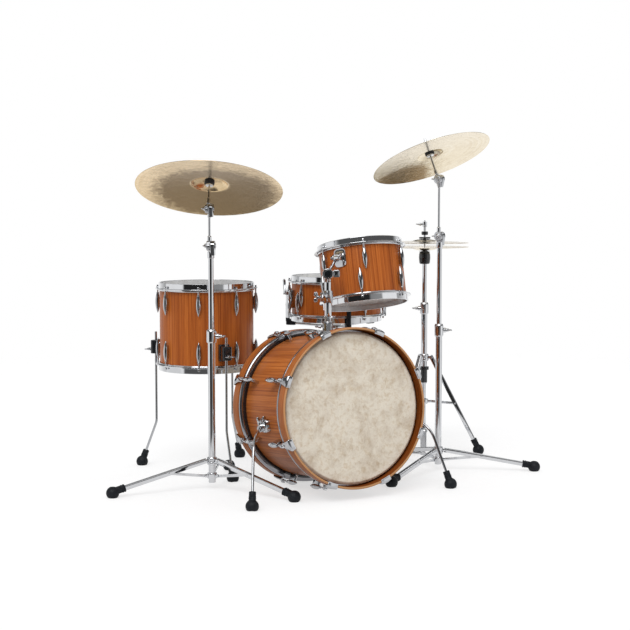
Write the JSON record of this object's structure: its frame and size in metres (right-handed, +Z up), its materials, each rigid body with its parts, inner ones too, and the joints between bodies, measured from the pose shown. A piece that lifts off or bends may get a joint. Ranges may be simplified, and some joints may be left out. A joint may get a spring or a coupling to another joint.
{
  "type": "acoustic drum kit",
  "caption": "Acoustic drum kit in brown wood: kick, rack tom, floor tom, snare on a basket stand, ride and crash on boom stands, and a hi-hat with a pedal.",
  "frame": {"origin": "middle of the kit's bounding box on the floor", "axes": "+X to the right as the audience sees it, +Y from the audience to the player, +Z up"},
  "size_m": [1.652, 1.0012, 1.2751],
  "materials": {
    "wood": "satin lacquer",
    "chrome": "polished",
    "black_metal": "gloss black",
    "rubber": "matte",
    "felt": "felt",
    "head": "aged film",
    "bronze": "lathed"
  },
  "bodies": {
    "kit": {"kick_shell": "wood", "kick_hoops": "wood", "kick_heads": "head", "kick_lugs": "chrome", "kick_claws": "chrome", "kick_tension_rods": "chrome", "kick_spur_brackets": "chrome", "tom_post_base": "chrome", "floor_tom_shell": "wood", "floor_tom_hoops": "chrome", "floor_tom_heads": "head", "floor_tom_lugs": "chrome", "floor_tom_tension_rods": "chrome", "floor_tom_leg_brackets": "black_metal", "cymbal_stand_base_tubes": "chrome", "hihat_base_tube": "chrome", "snare_stand_base_tube": "chrome", "stand_legs": "chrome", "stand_feet": "rubber", "stand_wing_screws": "chrome", "hihat_heel_plate": "chrome"},
    "spur_left": {"kick_spur_left": "chrome"},
    "spur_right": {"kick_spur_right": "chrome"},
    "tom_clamp": {"tom_post_clamp": "chrome"},
    "tom_post": {"tom_upper_post": "chrome"},
    "tom_holder": {"tom_arm": "chrome"},
    "rack_tom": {"rack_tom_bracket": "chrome", "rack_tom_shell": "wood", "rack_tom_hoops": "chrome", "rack_tom_heads": "head", "rack_tom_lugs": "chrome", "rack_tom_tension_rods": "chrome"},
    "leg_left": {"floor_tom_leg_left": "chrome"},
    "leg_front": {"floor_tom_leg_front": "chrome"},
    "leg_right": {"floor_tom_leg_right": "chrome"},
    "left_mast": {"left_stand_upper_tube": "chrome"},
    "left_boom": {"left_stand_boom": "chrome"},
    "left_tilter": {"left_cymbal_tilter": "chrome", "left_cymbal_felts": "felt"},
    "ride": {"ride_cymbal": "bronze"},
    "right_mast": {"right_stand_upper_tube": "chrome"},
    "right_boom": {"right_stand_boom": "chrome"},
    "right_tilter": {"right_cymbal_tilter": "chrome", "right_cymbal_felts": "felt"},
    "crash": {"crash_cymbal": "bronze"},
    "hihat_mast": {"hihat_upper_tube": "chrome", "hihat_seat": "black_metal", "hihat_bottom_cymbal": "bronze"},
    "hihat_rod": {"hihat_pull_rod": "chrome", "hihat_top_cymbal": "bronze"},
    "hihat_pedal": {"hihat_footboard": "chrome"},
    "snare_mast": {"snare_stand_upper_tube": "chrome"},
    "snare": {"snare_basket": "chrome", "snare_basket_grips": "rubber", "snare_shell": "wood", "snare_hoops": "chrome", "snare_heads": "head", "snare_lugs": "chrome", "snare_strainer": "chrome"},
    "snare_lever": {"snare_strainer_lever": "chrome"}
  },
  "joints": [
    {"name": "spur_left_fold", "type": "hinge", "parent": "kit", "child": "spur_left", "pos_m": [-0.33851, -0.27704, 0.248], "axis": [-0.6165, -0.7707, -0.1611], "range_deg": [0, 75]},
    {"name": "spur_right_fold", "type": "hinge", "parent": "kit", "child": "spur_right", "pos_m": [0.18549, -0.27704, 0.248], "axis": [-0.6165, 0.7707, 0.1611], "range_deg": [0, 75]},
    {"name": "tom_swivel", "type": "hinge", "parent": "kit", "child": "tom_clamp", "pos_m": [-0.07651, -0.26704, 0.64], "axis": [0, 0, 1], "range_deg": [-30, 8]},
    {"name": "tom_height", "type": "slide", "parent": "tom_clamp", "child": "tom_post", "axis": [0, 0, 1], "range_m": [-0.01, 0.1]},
    {"name": "tom_arm_tilt", "type": "hinge", "parent": "tom_post", "child": "tom_holder", "pos_m": [-0.07651, -0.26704, 0.768], "axis": [0.4726, 0.8813, 0], "range_deg": [-10, 8]},
    {"name": "rack_tom_tilt", "type": "hinge", "parent": "tom_holder", "child": "rack_tom", "pos_m": [-0.01608, -0.22516, 0.82273], "axis": [-0.521, 0.8333, -0.1847], "range_deg": [-10, 8]},
    {"name": "floor_tom_leg_left_slide", "type": "slide", "parent": "kit", "child": "leg_left", "axis": [0, 0, 1], "range_m": [0, 0.15]},
    {"name": "floor_tom_leg_front_slide", "type": "slide", "parent": "kit", "child": "leg_front", "axis": [0, 0, 1], "range_m": [0, 0.15]},
    {"name": "floor_tom_leg_right_slide", "type": "slide", "parent": "kit", "child": "leg_right", "axis": [0, 0, 1], "range_m": [0, 0.15]},
    {"name": "left_stand_height", "type": "slide", "parent": "kit", "child": "left_mast", "axis": [0, 0, 1], "range_m": [-0.08, 0.1]},
    {"name": "left_boom_tilt", "type": "hinge", "parent": "left_mast", "child": "left_boom", "pos_m": [-0.44251, -0.07804, 0.866], "axis": [-0.832, 0.5548, 0], "range_deg": [-20, 15]},
    {"name": "left_cymbal_tilt", "type": "hinge", "parent": "left_boom", "child": "left_tilter", "pos_m": [-0.44651, -0.07537, 0.997], "axis": [-0.832, 0.5548, 0], "range_deg": [-30, 12]},
    {"name": "ride_sway", "type": "hinge", "parent": "left_tilter", "child": "ride", "pos_m": [-0.42727, -0.03788, 1.1055], "axis": [-0.832, 0.5548, 0], "range_deg": [-4, 4], "stiffness_Nm_per_rad": 20},
    {"name": "right_stand_height", "type": "slide", "parent": "kit", "child": "right_mast", "axis": [0, 0, 1], "range_m": [-0.08, 0.1]},
    {"name": "right_boom_tilt", "type": "hinge", "parent": "right_mast", "child": "right_boom", "pos_m": [0.46049, -0.16204, 0.892], "axis": [-0.95, -0.3123, 0], "range_deg": [-20, 15]},
    {"name": "right_cymbal_tilt", "type": "hinge", "parent": "right_boom", "child": "right_tilter", "pos_m": [0.45593, -0.16354, 1.106], "axis": [-0.95, -0.3123, 0], "range_deg": [-30, 12]},
    {"name": "crash_sway", "type": "hinge", "parent": "right_tilter", "child": "crash", "pos_m": [0.43621, -0.11892, 1.21607], "axis": [-0.95, -0.3123, 0], "range_deg": [-4, 4], "stiffness_Nm_per_rad": 20},
    {"name": "hihat_height", "type": "slide", "parent": "kit", "child": "hihat_mast", "axis": [0, 0, 1], "range_m": [-0.08, 0.01]},
    {"name": "hihat_pedal_press", "type": "hinge", "parent": "kit", "child": "hihat_pedal", "pos_m": [0.42449, 0.31975, 0.02], "axis": [-0.5736, -0.8192, 0], "range_deg": [-5, 0], "stiffness_Nm_per_rad": 40, "springref_deg": 11.46},
    {"name": "hihat_rod_slide", "type": "slide", "parent": "kit", "child": "hihat_rod", "axis": [0, 0, 1], "range_m": [-0.0145, 0]},
    {"name": "snare_height", "type": "slide", "parent": "kit", "child": "snare_mast", "axis": [0, 0, 1], "range_m": [-0.05, 0.06]},
    {"name": "snare_tilt", "type": "hinge", "parent": "snare_mast", "child": "snare", "pos_m": [0.26649, 0.28896, 0.488], "axis": [1, 0, 0], "range_deg": [-8, 8]},
    {"name": "snare_lever_throw", "type": "hinge", "parent": "snare", "child": "snare_lever", "pos_m": [0.05901, 0.33155, 0.662], "axis": [-0.2011, -0.9796, 0], "range_deg": [0, 90]}
  ],
  "couplings": [
    {"joint": "hihat_rod_slide", "follows": "hihat_pedal_press", "m_per_rad": 0.165}
  ]
}
